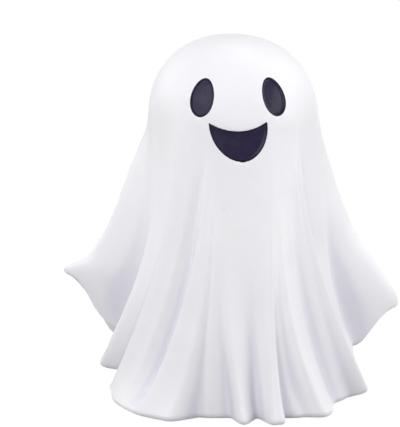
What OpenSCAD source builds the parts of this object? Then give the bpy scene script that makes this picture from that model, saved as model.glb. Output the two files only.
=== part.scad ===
// Ghost figure: a draped sheet with raised arms, slip-cast in ceramic as one hollow shell.
// The eyes and the mouth are dark glaze laid in shallow recesses. A soft stopper closes
// the pour hole in the base, and four felt pads carry the figure.
// Azimuths are in degrees from the front (-Y), positive towards +X. Z is up, 0 is the table.

/* [Figure] */
// Height from the table to the crown
figure_h = 200; // [160:5:280]
// Width of the head where the crown begins
head_w = 91.5; // [80:0.5:105]
// Depth of the head where the crown begins
head_d = 86; // [76:0.5:98]
// Height of the domed crown
crown_h = 46; // [38:1:54]
// Width of the body at the hem, between the folds
hem_w = 122; // [106:1:136]
// Depth of the body at the hem, between the folds
hem_d = 104; // [90:1:114]
// How far the crown stands to the left of the foot
lean = 5; // [0:0.5:10]
// How far the foot stands to the right of the middle between the arms' tips
foot_x = 4; // [0:0.5:8]

/* [Arms] */
// How far the left arm's tip stands out of the body
left_arm_reach = 42; // [26:0.5:46]
// Height of the left arm's tip
left_tip_z = 71; // [60:1:78]
// How far the right arm's tip stands out of the body
right_arm_reach = 34.5; // [26:0.5:40]
// Height of the right arm's tip
right_tip_z = 51; // [42:1:60]
// How far below the crown both arms leave the body
shoulder_drop = 42; // [30:1:56]

/* [Folds] */
// Depth of the largest fold at the hem
fold_depth = 12; // [8:0.5:15]
// Thickness of the sheet's rolled hem
hem_t = 6; // [4:0.5:7]
// How far the hem spreads out where it meets the table
spread_depth = 12; // [0:0.5:14]
// Height over which the hem spreads
spread_h = 30; // [15:1:40]
// Gap between the front hem and the foot's plane
hem_gap = 0.3; // [0.1:0.1:1.2]
// How far the foot stands in from the body
foot_inset = 5; // [3:0.5:7]

/* [Face] */
// Width of an eye
eye_w = 13.6; // [10:0.2:16]
// Height of an eye
eye_h = 19.4; // [15:0.2:22]
// Distance between the middles of the eyes, measured round the head
eye_span = 41; // [36:0.5:45]
// How far the middles of the eyes lie below the crown
eye_drop = 27.6; // [25:0.2:32]
// Width of the mouth between its corners
mouth_w = 31; // [26:0.5:34]
// Height of the mouth from its corners to its lowest point
mouth_h = 20; // [15:0.5:22]
// How far the mouth's corners lie below the crown
mouth_drop = 40; // [38:0.5:44]
// Depth of the recesses
recess_depth = 1.7; // [1.4:0.1:2.6]
// Thickness of the dark glaze on the floor of a recess
glaze_t = 0.7; // [0.4:0.1:1]
// How far below the rim of its recess the glaze begins
glaze_drop = 0.2; // [0.1:0.1:0.4]
// Gap between the glaze and the wall of its recess
glaze_gap = 0.1; // [0.05:0.05:0.3]

/* [Shell] */
// Least thickness of the cast wall
wall_t = 5; // [4:0.5:6.5]
// Thickness of the base
base_t = 5; // [4:0.5:7]
// Depth of the hollow under the base
hollow_h = 2; // [1.5:0.1:3]
// Diameter of the hollow under the base
hollow_d = 76; // [68:1:82]
// Diameter of the pour hole
pour_d = 22; // [16:1:28]

/* [Stopper] */
// Diameter of the stopper's flange
flange_d = 28; // [24:1:32]
// Thickness of the stopper's flange
flange_t = 1.4; // [1:0.1:1.8]
// Length of the stopper's plug
plug_h = 9; // [7:0.5:12]
// Wall of the stopper's hollow plug
plug_wall = 2; // [1.5:0.1:3]
// Gap round the plug in the pour hole
plug_gap = 0.1; // [0.05:0.05:0.3]

/* [Pads] */
// Diameter of a felt pad
pad_d = 12; // [9:0.5:15]
// How far the pads lift the foot off the table
pad_lift = 0.6; // [0.4:0.1:1.6]
// Gap between a pad's edge and the wall of the hollow
pad_edge_gap = 1.5; // [1:0.1:3]

/* [Hidden] */

crown_power = 2.2;
flare_power = 1.15;
arm_power = 1.35;
point_power = 6;
left_arm_hem_share = 0.48;
right_arm_hem_share = 0.24;
// Where the rings of the underside lie between the foot and the hem.
underside_shares = [0.6, 0.3, 0];
face_azimuth = 4.4;
eye_tilt = 7;
overrun = 3;

foot_z = pad_lift;
ceiling_z = foot_z + hollow_h;
floor_z = ceiling_z + base_t;
brow_z = figure_h - crown_h;
shoulder_z = figure_h - shoulder_drop;
eye_z = figure_h - eye_drop;
mouth_z = figure_h - mouth_drop;
lip_r = hem_t / 2;
head_half = [head_w, head_d] / 2;
hem_half = [hem_w, hem_d] / 2;

// The crests and valleys of the sheet, once round from the left arm. Each row:
// azimuths at the hem, at the knee of its curve and at the neck,
// relief at the hem and at the knee as shares of fold_depth,
// the height where it fades out and the lift of its hem as shares of figure_h,
// the arm, -1 on the left arm's ridge and 1 on the right arm's,
// and how far its hem spreads out on the table as a share of spread_depth.
fold_shares = [
    [-108, -87, -93, 0.00, 0.00, 0.60, 0.170, -1, 0.00],
    [-106, -68, -76, -0.10, -0.10, 0.78, 0.170, 0, 0.00],
    [-103, -56, -63, 2.05, -0.60, 0.84, 0.055, 0, 0.00],
    [-92, -42, -45, 0.00, -0.15, 0.82, 0.060, 0, 0.00],
    [-88, -39, -41, 0.92, 0.40, 0.84, 0.010, 0, 0.20],
    [-72, -31, -32, 0.70, 0.30, 0.80, 0.000, 0, 0.60],
    [-59, -22, -22, 0.12, -0.05, 0.76, 0.000, 0, 1.35],
    [-55, -19, -19, 0.85, 0.40, 0.72, 0.000, 0, 0.45],
    [-38, -13, -14, 0.72, 0.35, 0.66, 0.000, 0, 0.40],
    [-25, -15, -10, -0.10, 0.20, 0.62, 0.000, 0, 0.00],
    [-7, -15, -8, -0.30, 0.15, 0.56, 0.000, 0, 0.00],
    [2, -12, -6, 0.48, 0.25, 0.50, 0.000, 0, 0.15],
    [11, 3, 11, -0.20, 0.15, 0.60, 0.000, 0, 0.00],
    [17, 17, 27, 0.75, 0.28, 0.66, 0.000, 0, 0.10],
    [22, 16, 31, 0.75, 0.34, 0.68, 0.000, 0, 0.10],
    [26, 16, 34, 0.00, 0.42, 0.68, 0.000, 0, 0.05],
    [36, 15, 38, 0.05, 0.30, 0.64, 0.000, 0, 0.30],
    [46, 15, 41, 0.80, 0.42, 0.60, 0.000, 0, 0.05],
    [66, 32, 45, -0.15, -0.15, 0.62, 0.000, 0, 0.10],
    [76, 37, 47, 0.10, 0.30, 0.74, 0.000, 0, 0.00],
    [84, 40, 49, 0.95, 0.45, 0.80, 0.008, 0, 0.00],
    [88, 45, 53, -0.10, -0.15, 0.78, 0.040, 0, 0.00],
    [94, 62, 68, 1.10, -0.80, 0.50, 0.080, 0, 0.00],
    [99, 72, 78, 1.20, -0.50, 0.50, 0.120, 0, 0.00],
    [106, 90, 93, 0.00, 0.00, 0.60, 0.120, 1, 0.00],
    [115, 104, 107, 0.00, 0.00, 0.60, 0.060, 0, 0.00],
    [124, 116, 118, 0.75, 0.30, 0.66, 0.010, 0, 0.15],
    [135, 128, 129, -0.10, 0.00, 0.60, 0.000, 0, 0.00],
    [148, 141, 141, 0.75, 0.30, 0.74, 0.000, 0, 0.15],
    [161, 157, 157, -0.10, 0.00, 0.55, 0.000, 0, 0.10],
    [175, 170, 170, 0.60, 0.20, 0.66, 0.000, 0, 0.10],
    [190, 187, 187, -0.10, 0.00, 0.50, 0.000, 0, 0.05],
    [206, 202, 202, 0.70, 0.30, 0.72, 0.000, 0, 0.20],
    [222, 219, 219, -0.10, 0.00, 0.60, 0.000, 0, 0.00],
    [236, 235, 235, 0.75, 0.30, 0.74, 0.010, 0, 0.10],
    [247, 250, 252, 0.00, 0.00, 0.60, 0.070, 0, 0.00]
];
// Each arm's profile: how far down it, then how far out, as shares of its length and reach.
// The left arm's tip adds a point to it.
left_arm_shares = [
    [0, 0], [0.1, 0.03], [0.33, 0.2], [0.54, 0.335], [0.64, 0.4], [0.74, 0.48], [0.79, 0.53], [0.84, 0.59],
    [0.9, 0.66], [0.95, 0.73], [1, 0.82], [1.2, 0.93], [1.4, 1.08]
];
left_point_shares = [[0.95, 0], [1, 0.18]];
right_arm_shares = [
    [0, 0], [0.15, 0.06], [0.42, 0.22], [0.58, 0.35], [0.7, 0.52], [0.8, 0.69], [0.88, 0.83], [0.95, 0.95],
    [1, 1], [1.3, 1.05]
];
// Control points of the mouth, as shares of its width and height, for its upper edge
// from the right corner to the left one and for its lower edge back.
mouth_upper_shares = [[0.47, 0.02], [0, -0.42], [-0.52, 0]];
mouth_left_shares = [[-0.52, 0], [-0.5, -0.6], [-0.22, -1], [0.045, -1]];
mouth_right_shares = [[0.045, -1], [0.28, -1], [0.52, -0.52], [0.47, 0.02]];
mouth_middle_share = -0.45;
// Where the floor of a glaze's dish ends and where its flat middle does, from its middle outwards.
dish_share = 0.82;
middle_share = 0.5;

fold_count = len(fold_shares);
// Where the columns lie between two rows, and on the way out of an arm's ridge.
column_shares = [0, 0.25, 0.5, 0.75];
ridge_shares = [0, 0.08, 0.18, 0.32, 0.5, 0.75];
crown_rows = 8;
skirt_rows = 18;
cavity_rows = 8;
eye_points = 28;
mouth_points = 8;

function mix(a, b, t) = a + (b - a) * t;
function clamp01(t) = max(0, min(1, t));
function smooth(t) = t * t * (3 - 2 * t);
function axis_x(z) = foot_x - lean * z / figure_h;
function polar(r, azimuth, z) = [axis_x(z) + r * sin(azimuth), -r * cos(azimuth), z];

// Radius of an ellipse with half axes [x, y] at an azimuth.
function oval(half, azimuth) =
    1 / sqrt(pow(sin(azimuth) / half.x, 2) + pow(cos(azimuth) / half.y, 2));

// Half width and half depth of the body without folds or arms, or of a smaller one inside it.
function body_half(z, inset = 0) =
    let (in = [inset, inset], rise = min(1, (z - brow_z) / (crown_h - inset)))
        z > brow_z
            ? (head_half - in) * pow(1 - pow(rise, crown_power), 1 / crown_power)
            : mix(head_half, hem_half, pow(1 - z / brow_z, flare_power)) - in;

function body_r(azimuth, z, inset = 0) = oval(body_half(z, inset), azimuth);

// Height of ring i of n on a dome that rises from base_z by rise.
function dome_z(base_z, rise, i, n) = base_z + rise * pow(cos(90 * i / n), 2 / crown_power);

// A row of the fold table, past its end one turn on.
function fold_row(k) =
    let (row = fold_shares[k % fold_count], turn = k < fold_count ? 0 : 360)
        row + [turn, turn, turn, 0, 0, 0, 0, 0, 0];

// A column of the sheet: the rows on either side of it and its place between them.
function column(k, t) = [fold_row(k), fold_row(k + 1), t];

// The shares of the way from row k to the next at which columns lie, close together at a ridge.
function shares_between(k) =
    fold_row(k)[7] != 0
        ? ridge_shares
        : fold_row(k + 1)[7] != 0
            ? [0, for (i = [len(ridge_shares) - 1:-1:1]) 1 - ridge_shares[i]]
            : column_shares;

function between_rows(col, i) = mix(col[0][i], col[1][i], smooth(col[2]));

// A value that bends from first over knee to last while t runs from 0 to 1.
function bent(first, knee, last, t) = bezier([first, knee, last], t);

function row_azimuth(row, z) = bent(row[2], row[1], row[0], clamp01(1 - z / shoulder_z));

function azimuth_at(col, z) = mix(row_azimuth(col[0], z), row_azimuth(col[1], z), col[2]);

function row_relief(row, z) = bent(0, row[4], row[3], clamp01(1 - z / (row[5] * figure_h)));

function relief_at(col, z) =
    fold_depth * mix(row_relief(col[0], z), row_relief(col[1], z), smooth(col[2]))
        + spread_depth * between_rows(col, 8) * pow(clamp01(1 - z / spread_h), 2);

function arm_tip_z(arm) = arm < 0 ? left_tip_z : right_tip_z;

function arm_reach(arm, z) =
    let (v = (shoulder_z - z) / (shoulder_z - arm_tip_z(arm)))
        arm < 0
            ? left_arm_reach * (
                lookup(v, left_arm_shares) * pow(-arm, arm_power)
                    + lookup(v, left_point_shares) * pow(-arm, point_power)
            )
            : right_arm_reach * lookup(v, right_arm_shares) * pow(arm, arm_power);

// Radius of the sheet's outer face.
function sheet_r(col, z) =
    body_r(azimuth_at(col, z), z) + relief_at(col, z) + arm_reach(between_rows(col, 7), z);

// Height of the lowest line of the hem, which rises to each arm's tip from some way out,
// or of the underside behind it, where out is the share left of the way to the hem.
function hem_z(col, out = 1) =
    let (
        arm = between_rows(col, 7),
        start = arm < 0 ? left_arm_hem_share : right_arm_hem_share,
        along = abs(arm) * pow(out, 1 / arm_power)
    )
        mix(
            foot_z + hem_gap + between_rows(col, 6) * figure_h,
            arm_tip_z(arm) - hem_t,
            smooth(clamp01((along - start) / (1 - start)))
        );

// Radius of the foot, behind the hem.
function foot_r(col) =
    min(
        body_r(azimuth_at(col, foot_z), foot_z) - foot_inset,
        sheet_r(col, hem_z(col) + lip_r) - hem_t - foot_inset / 4
    );

// Radius of the cavity: the cast wall inside the body, its valleys and the foot.
function cavity_r(col, z) =
    min(
        body_r(azimuth_at(col, z), z, wall_t) + min(0, relief_at(col, z)),
        z < hem_z(col) + hem_t + wall_t ? foot_r(col) - wall_t : head_w
    );

// The hem's rolled edge, the underside behind it and the foot, as [radius, height] pairs.
function hem_points(col) =
    let (z = hem_z(col), r = sheet_r(col, z + lip_r), core = foot_r(col), behind = r - hem_t)
        [
            [r - lip_r * (1 - cos(45)), z + lip_r * (1 - sin(45))],
            [r - lip_r, z],
            [behind, hem_z(col, (behind - core) / (r - core)) + lip_r / 2],
            for (out = underside_shares)
                [mix(core, behind, out), hem_z(col, out * (behind - core) / (r - core)) + lip_r],
            [core, mix(foot_z, hem_z(col, 0) + lip_r, 1 / 3)],
            [core - foot_inset / 5, foot_z]
        ];

function column_points(col) =
    let (end_z = hem_z(col) + lip_r)
        [
            for (i = [1:crown_rows])
                let (z = dome_z(brow_z, crown_h, i, crown_rows))
                    polar(sheet_r(col, z), azimuth_at(col, z), z),
            for (i = [1:skirt_rows])
                let (z = mix(brow_z, end_z, i / skirt_rows))
                    polar(sheet_r(col, z), azimuth_at(col, z), z),
            for (p = hem_points(col))
                polar(p[0], azimuth_at(col, p[1]), p[1])
        ];

// A closed solid from rings of equal length, each seen from outside with the next below it
// and running to the right, with a point at each end.
module rings_solid(rings, first, last) {
    n = len(rings[0]);
    m = len(rings);
    points = [for (ring = rings) each ring, first, last];
    faces = [
        for (j = [0:n - 1]) [m * n, (j + 1) % n, j],
        for (i = [0:m - 2], j = [0:n - 1])
            let (a = i * n + j, b = i * n + (j + 1) % n)
                each [[a, b, b + n], [a, b + n, a + n]],
        for (j = [0:n - 1]) [m * n + 1, (m - 1) * n + j, (m - 1) * n + (j + 1) % n]
    ];
    polyhedron(points, faces);
}

// The sheet from the crown to its rolled hem, closed by the foot.
module draped_sheet() {
    columns = [for (k = [0:fold_count - 1], t = shares_between(k)) column_points(column(k, t))];
    rings = [for (i = [0:len(columns[0]) - 1]) [for (c = columns) c[i]]];
    rings_solid(rings, [axis_x(figure_h), 0, figure_h], [axis_x(foot_z), 0, foot_z]);
}

// The space that the slip leaves when it is poured out.
module cavity() {
    top_z = figure_h - wall_t;
    levels = [
        for (i = [1:cavity_rows]) dome_z(brow_z, top_z - brow_z, i, cavity_rows),
        for (i = [1:cavity_rows]) mix(brow_z, floor_z, i / cavity_rows)
    ];
    rings = [
        for (z = levels) [
            for (k = [0:fold_count - 1])
                let (col = column(k, 0)) polar(cavity_r(col, z), azimuth_at(col, z), z)
        ]
    ];
    rings_solid(rings, [axis_x(top_z), 0, top_z], [axis_x(floor_z), 0, floor_z]);
}

// A point of the face: how far it is round the head from the middle of the face, its
// height, and how far it stands out of the surface.
function face_point(p, out) =
    let (azimuth = face_azimuth + p.x / head_half.y * 180 / PI)
        polar(body_r(azimuth, p.y) + out, azimuth, p.y);

// A solid inside an outline of the face, which runs anticlockwise as seen from the front.
// The profile gives its rings from the front to the back, each as a share of the way from
// the middle to the outline and how far it stands out of the face.
module face_inlay(outline, middle, profile, gap = 0) {
    function inner(p, s) = let (d = p - middle) middle + d * max(0, 1 - gap / norm(d)) * s;
    rings = [for (ring = profile) [for (p = outline) face_point(inner(p, ring[0]), ring[1])]];
    rings_solid(rings, face_point(middle, profile[0][1]), face_point(middle, profile[len(profile) - 1][1]));
}

function bezier(c, t) =
    len(c) == 1 ? c[0] : bezier([for (i = [0:len(c) - 2]) mix(c[i], c[i + 1], t)], t);

function eye_middle(side) = [side * eye_span / 2, eye_z];

function eye_outline(side) = [
    for (i = [0:eye_points - 1])
        let (
            a = 360 * i / eye_points,
            u = -sin(a) * eye_w / 2,
            v = cos(a) * eye_h / 2,
            tilt = -side * eye_tilt
        )
            eye_middle(side) + [u * cos(tilt) + v * sin(tilt), v * cos(tilt) - u * sin(tilt)]
];

mouth_middle = [0, mouth_z + mouth_middle_share * mouth_h];
mouth_outline = [
    for (c = [mouth_upper_shares, mouth_left_shares, mouth_right_shares], i = [0:mouth_points - 1])
        let (p = bezier(c, i / mouth_points))
            [p.x * mouth_w, mouth_z + p.y * mouth_h]
];

module recess(outline, middle) {
    face_inlay(outline, middle, [
        [middle_share, overrun], [1, overrun], [1, -recess_depth], [middle_share, -recess_depth]
    ]);
}

// The glaze lies in its recess as a shallow dish that runs up to the rim.
module glaze(outline, middle) {
    front = glaze_t - recess_depth;
    color([0.19, 0.17, 0.26])
        face_inlay(outline, middle, [
            [middle_share, front], [dish_share, front], [1, -glaze_drop],
            [1, -recess_depth], [middle_share, -recess_depth]
        ], glaze_gap);
}

module ghost_shell() {
    color([0.96, 0.96, 0.95])
        difference() {
            draped_sheet();
            cavity();
            recess(eye_outline(-1), eye_middle(-1));
            recess(eye_outline(1), eye_middle(1));
            recess(mouth_outline, mouth_middle);
            translate([axis_x(0), 0, foot_z - overrun])
                cylinder(d = hollow_d, h = hollow_h + overrun, $fn = 96);
            translate([axis_x(0), 0, foot_z - overrun])
                cylinder(d = pour_d, h = floor_z - foot_z + 2 * overrun, $fn = 64);
        }
}

module left_eye() {
    glaze(eye_outline(-1), eye_middle(-1));
}

module right_eye() {
    glaze(eye_outline(1), eye_middle(1));
}

module mouth() {
    glaze(mouth_outline, mouth_middle);
}

module pour_hole_stopper() {
    plug_r = pour_d / 2 - plug_gap;
    color([0.86, 0.86, 0.84])
        translate([axis_x(0), 0, ceiling_z])
            rotate_extrude($fn = 64)
                difference() {
                    union() {
                        translate([0, -flange_t])
                            square([flange_d / 2, flange_t]);
                        polygon([
                            [0, 0], [plug_r, 0], [plug_r, plug_h - plug_wall],
                            [plug_r - plug_wall / 2, plug_h], [0, plug_h]
                        ]);
                    }
                    translate([0, -flange_t - overrun])
                        square([plug_r - plug_wall, plug_h - plug_wall + flange_t + overrun]);
                }
}

module pad(side, end) {
    spread = (hollow_d / 2 - pad_edge_gap - pad_d / 2) * sin(45);
    color([0.85, 0.84, 0.8])
        translate([axis_x(0) + side * spread, end * spread, 0])
            cylinder(d = pad_d, h = ceiling_z, $fn = 48);
}

module front_left_pad() {
    pad(-1, -1);
}

module front_right_pad() {
    pad(1, -1);
}

module rear_left_pad() {
    pad(-1, 1);
}

module rear_right_pad() {
    pad(1, 1);
}

ghost_shell();
left_eye();
right_eye();
mouth();
pour_hole_stopper();
front_left_pad();
front_right_pad();
rear_left_pad();
rear_right_pad();
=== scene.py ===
"""Finishes the ghost figure: a slip-cast shell with a dark glazed face, its stopper and felt pads."""

import math

import bmesh
import bpy
import numpy as np
from bpy.props import FloatProperty, FloatVectorProperty, IntProperty, PointerProperty
from mathutils import Matrix, Vector, noise


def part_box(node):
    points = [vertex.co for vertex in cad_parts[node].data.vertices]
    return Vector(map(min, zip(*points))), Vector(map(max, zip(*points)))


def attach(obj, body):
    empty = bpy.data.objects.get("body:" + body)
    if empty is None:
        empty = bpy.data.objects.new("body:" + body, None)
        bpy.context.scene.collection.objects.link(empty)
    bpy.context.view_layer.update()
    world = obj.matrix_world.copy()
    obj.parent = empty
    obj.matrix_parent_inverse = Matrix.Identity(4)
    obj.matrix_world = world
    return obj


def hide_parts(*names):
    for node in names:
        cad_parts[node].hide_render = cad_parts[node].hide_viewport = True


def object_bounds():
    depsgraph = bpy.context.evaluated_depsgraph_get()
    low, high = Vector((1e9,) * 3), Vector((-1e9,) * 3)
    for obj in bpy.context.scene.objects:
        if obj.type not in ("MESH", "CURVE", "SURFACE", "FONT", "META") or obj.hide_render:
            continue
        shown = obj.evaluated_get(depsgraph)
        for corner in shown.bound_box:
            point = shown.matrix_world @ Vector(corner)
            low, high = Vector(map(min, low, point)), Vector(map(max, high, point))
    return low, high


bl_info = {
    "name": "Ceramic ghost figure",
    "version": (1, 0, 0),
    "blender": (4, 5, 0),
    "location": "View3D > Sidebar > Ghost Figure",
    "description": "Glazes the cast ghost figure and sets its stage",
    "category": "Object",
}

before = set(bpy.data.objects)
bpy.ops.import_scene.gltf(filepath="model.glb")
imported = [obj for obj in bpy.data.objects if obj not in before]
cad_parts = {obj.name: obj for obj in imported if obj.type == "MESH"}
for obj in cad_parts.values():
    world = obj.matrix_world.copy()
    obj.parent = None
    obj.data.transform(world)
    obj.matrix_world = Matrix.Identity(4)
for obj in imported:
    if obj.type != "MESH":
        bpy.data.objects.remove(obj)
CAD_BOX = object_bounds()
FIGURE_H = CAD_BOX[1].z
# Heights of the CAD solid: where the crown begins, where the arms leave the body, the foot's
# plane, the ceiling of the hollow under the base and the floor of the cavity.
BROW_Z = 0.154
CROWN_H = FIGURE_H - BROW_Z
SHOULDER_Z = 0.158
FOOT_Z = 0.0006
CEILING_Z = 0.0026
FLOOR_Z = 0.0076


# Sizes and colours

class ShellSizes(bpy.types.PropertyGroup):
    """The cast shell and its white glaze."""
    columns: FloatProperty(name="Columns", description="Columns of the shell's mesh for each degree",
                           default=0.8)
    skirt_rows: IntProperty(name="Skirt rows", description="Rows of the mesh from the brow to the hem",
                            default=76)
    crown_rows: IntProperty(name="Crown rows", description="Rows of the mesh on the crown", default=40)
    wobble: FloatProperty(name="Wobble", description="How far the hand-finished surface wanders",
                          default=0.0004, unit="LENGTH")
    colour: FloatVectorProperty(name="White", description="Colour of the white glaze", subtype="COLOR",
                                default=(0.87, 0.87, 0.885), min=0, max=1)


class FaceSizes(bpy.types.PropertyGroup):
    """The recessed face and its dark glaze."""
    eye_w: FloatProperty(name="Eye width", description="Width of an eye", default=0.0136, unit="LENGTH")
    eye_h: FloatProperty(name="Eye height", description="Height of an eye", default=0.0194, unit="LENGTH")
    eye_span: FloatProperty(name="Eye span", description="Distance between the eyes round the head",
                            default=0.041, unit="LENGTH")
    eye_z: FloatProperty(name="Eye level", description="Height of the middles of the eyes",
                         default=0.1724, unit="LENGTH")
    mouth_w: FloatProperty(name="Mouth width", description="Width of the mouth", default=0.031, unit="LENGTH")
    mouth_h: FloatProperty(name="Mouth height", description="Height of the mouth",
                           default=0.02, unit="LENGTH")
    mouth_z: FloatProperty(name="Mouth level", description="Height of the mouth's corners",
                           default=0.16, unit="LENGTH")
    depth: FloatProperty(name="Depth", description="Depth of the glazed recesses",
                         default=0.0013, unit="LENGTH")
    step: FloatProperty(name="Step", description="Edge length of the glaze's mesh",
                        default=0.0003, unit="LENGTH")
    colour: FloatVectorProperty(name="Dark glaze", description="Colour of the dark glaze", subtype="COLOR",
                                default=(0.013, 0.009, 0.034), min=0, max=1)


class StopperSizes(bpy.types.PropertyGroup):
    """The soft stopper in the base."""
    round_edge: FloatProperty(name="Round", description="How far the stopper's edges are rounded off",
                              default=0.00035, unit="LENGTH")
    colour: FloatVectorProperty(name="Rubber", description="Colour of the stopper", subtype="COLOR",
                                default=(0.72, 0.72, 0.69), min=0, max=1)


class PadSizes(bpy.types.PropertyGroup):
    """The felt pads under the base."""
    fuzz: FloatProperty(name="Fuzz", description="How far the felt's edge wanders",
                        default=0.00012, unit="LENGTH")
    colour: FloatVectorProperty(name="Felt", description="Colour of the felt", subtype="COLOR",
                                default=(0.62, 0.6, 0.55), min=0, max=1)


class StageSizes(bpy.types.PropertyGroup):
    """The camera, the floor and the light."""
    distance: FloatProperty(name="Distance", description="From the camera to the figure's middle",
                            default=1.03, unit="LENGTH")
    elevation: FloatProperty(name="Elevation", description="How far the camera looks down",
                             default=math.radians(13.7), subtype="ANGLE")
    lens: FloatProperty(name="Lens", description="Focal length in millimetres", default=170.6)
    fill: FloatProperty(name="Fill", description="Strength of the light from all round", default=0.28)
    top: FloatProperty(name="Top", description="Power of the lamp above", default=3.4)
    front: FloatProperty(name="Front", description="Power of the lamp in front", default=11.2)
    left: FloatProperty(name="Left", description="Power of the lamp at the left", default=1.8)
    left_back: FloatProperty(name="Left back", description="Power of the lamp behind at the left",
                             default=2.8)
    right: FloatProperty(name="Right", description="Power of the lamp at the right", default=8.8)
    right_back: FloatProperty(name="Right back", description="Power of the lamp behind at the right",
                              default=2.4)
    fill_colour: FloatVectorProperty(name="Fill colour", description="Colour of the light from all round",
                                     subtype="COLOR", default=(0.93, 0.93, 1.0), min=0, max=1)


GROUPS = {
    "ghost_shell_sizes": ShellSizes, "ghost_face_sizes": FaceSizes, "ghost_stopper_sizes": StopperSizes,
    "ghost_pad_sizes": PadSizes, "ghost_stage_sizes": StageSizes,
}


# Shader wiring

class Wire:
    """A socket of a material's tree. Arithmetic on wires adds Math nodes."""

    def __init__(self, tree, socket=None):
        self.tree = tree
        self.socket = socket

    def node(self, kind, settings=None, sockets=None, out=0):
        """Adds a node: its settings first, then the values or links of its sockets."""
        made = self.tree.nodes.new("ShaderNode" + kind)
        for key, value in (settings or {}).items():
            setattr(made, key, value)
        for key, value in (sockets or {}).items():
            if isinstance(value, Wire):
                self.tree.links.new(value.socket, made.inputs[key])
            else:
                made.inputs[key].default_value = value
        return Wire(self.tree, made.outputs[out] if made.outputs else None)

    def maths(self, operation, *values):
        return self.node("Math", {"operation": operation}, dict(enumerate(values)))

    def __add__(self, other):
        return self.maths("ADD", self, other)

    def __radd__(self, other):
        return self.maths("ADD", other, self)

    def __sub__(self, other):
        return self.maths("SUBTRACT", self, other)

    def __rsub__(self, other):
        return self.maths("SUBTRACT", other, self)

    def __mul__(self, other):
        return self.maths("MULTIPLY", self, other)

    def __rmul__(self, other):
        return self.maths("MULTIPLY", other, self)

    def clamped(self, low, high):
        """0 at low, 1 at high, smooth between."""
        return self.node("MapRange", {"interpolation_type": "SMOOTHSTEP"},
                         {"Value": self, "From Min": low, "From Max": high})

    def blend(self, first, second):
        """A colour between two, where this wire is the share of the second."""
        # The numbers of the node's sockets when it mixes colours.
        factor, first_colour, second_colour, mixed_colour = 0, 6, 7, 2
        sockets = {factor: self}
        for socket, colour in ((first_colour, first), (second_colour, second)):
            sockets[socket] = colour if isinstance(colour, Wire) else (*colour, 1)
        return self.node("Mix", {"data_type": "RGBA"}, sockets, out=mixed_colour)

    def noise(self, scale, detail=2.0, roughness=0.5, stretch=None):
        """Noise of a scale per metre on these coordinates, stretched along an axis if told to."""
        place = self
        if stretch:
            place = self.node("Mapping", {}, {"Vector": self, "Scale": stretch})
        return place.node("TexNoise", {}, {"Vector": place, "Scale": scale, "Detail": detail,
                                           "Roughness": roughness})


def cleared(block):
    """The node tree of a material or a world, emptied."""
    block.use_nodes = True
    block.node_tree.nodes.clear()
    return block.node_tree


def new_finish(name, fixed):
    """A material with one Principled shader, whose fixed sockets are set, and its Object coordinates."""
    material = bpy.data.materials.new(name)
    start = Wire(cleared(material))
    shader = start.tree.nodes.new("ShaderNodeBsdfPrincipled")
    for key, value in fixed.items():
        shader.inputs[key].default_value = value
    start.node("OutputMaterial", {}, {"Surface": Wire(start.tree, shader.outputs[0])})
    return material, shader, start.node("TexCoord", out="Object")


def feed(shader, **wires):
    """Links wires to the shader's sockets."""
    for key, wire in wires.items():
        wire.tree.links.new(wire.socket, shader.inputs[key.replace("_", " ")])


def bumped(height, distance):
    """A normal for a height, where a height of 1 is a distance in metres."""
    return height.node("Bump", {}, {"Height": height, "Strength": 1.0, "Distance": distance})


def tinted(colour, *shares):
    """A colour whose channels are each times their own share, or all times the one given."""
    return tuple(min(1, c * share) for c, share in zip(colour, shares * (3 // len(shares))))


def white_glaze(colour):
    """A thin satin glaze on a white body: faint clouds, brush drag, pin holes, and painted shade that greys
    the valleys.
    """
    material, shader, here = new_finish("white_glaze", {
        "Specular IOR Level": 0.4, "Coat Roughness": 0.35, "Coat IOR": 1.45})
    clouds = here.noise(32, detail=3, roughness=0.55)
    drag = here.noise(900, stretch=(1, 1, 0.12))
    tooth = here.noise(2600, roughness=0.6)
    thick = clouds.clamped(0.3, 0.7)

    # A pin hole sits in the middle of about one cell in 25.
    cells = {"Vector": here, "Scale": 210.0, "Randomness": 1.0}
    off_middle = here.node("TexVoronoi", {"feature": "F1"}, cells)
    dice = here.node("TexVoronoi", {"feature": "F1"}, cells, out="Color")
    chance = here.node("SeparateColor", {}, {"Color": dice})
    hole = chance.clamped(0.955, 0.965) * (1 - off_middle.clamped(0.05, 0.14))
    hole_colour = (0.5, 0.48, 0.5)

    valley = here.node("Attribute", {"attribute_name": "valley"}, {}, out="Fac")
    base = thick.blend(tinted(colour, 0.975), colour)
    # Painted shade: the white turns greyer and a little bluer the deeper a point lies in the folds' hollows.
    base = valley.clamped(0.1, 1.0).blend(base, tinted(colour, 0.84, 0.83, 0.88))
    base = (hole * 0.3).blend(base, hole_colour)
    feed(shader, Base_Color=base,
         Roughness=0.44 + 0.12 * clouds + 0.08 * tooth,
         Coat_Weight=0.12 + 0.1 * thick,
         Normal=bumped(0.5 * drag + 0.35 * tooth - 1.6 * hole, distance=0.00006))
    return material


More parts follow.
